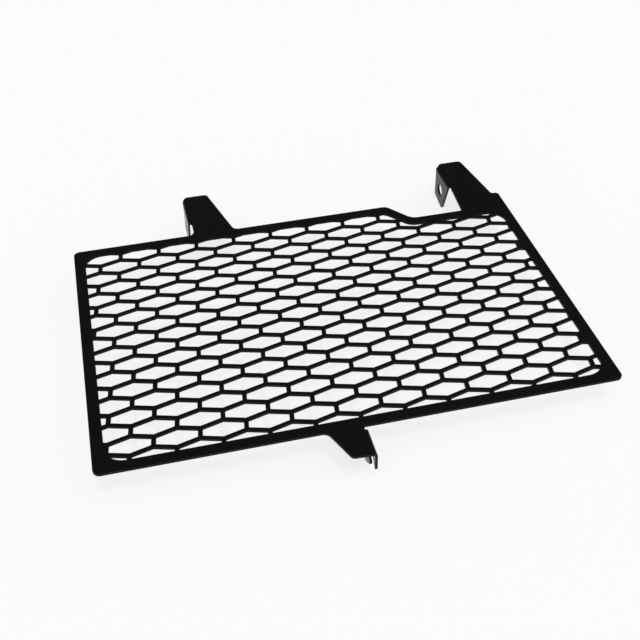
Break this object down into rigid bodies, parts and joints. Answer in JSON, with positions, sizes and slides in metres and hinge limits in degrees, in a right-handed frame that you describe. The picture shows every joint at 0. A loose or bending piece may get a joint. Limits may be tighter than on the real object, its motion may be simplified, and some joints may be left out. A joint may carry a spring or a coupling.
{
  "type": "radiator guard",
  "caption": "Motorcycle radiator guard: a black sheet-metal panel with a leaning honeycomb grille, a step in one edge and folded mounting tabs",
  "frame": {"origin": "under the middle of the bounding box, on the surface that the three flange tips stand on", "axes": "+X along the panel's long side, +Y towards the two upper tabs, +Z out of the panel's front face"},
  "size_m": [0.3, 0.2728, 0.0249],
  "materials": {
    "coated_sheet": "black powder coat, satin, with a fine texture"
  },
  "bodies": {
    "root": {"radiator_guard": "coated_sheet"}
  },
  "joints": []
}
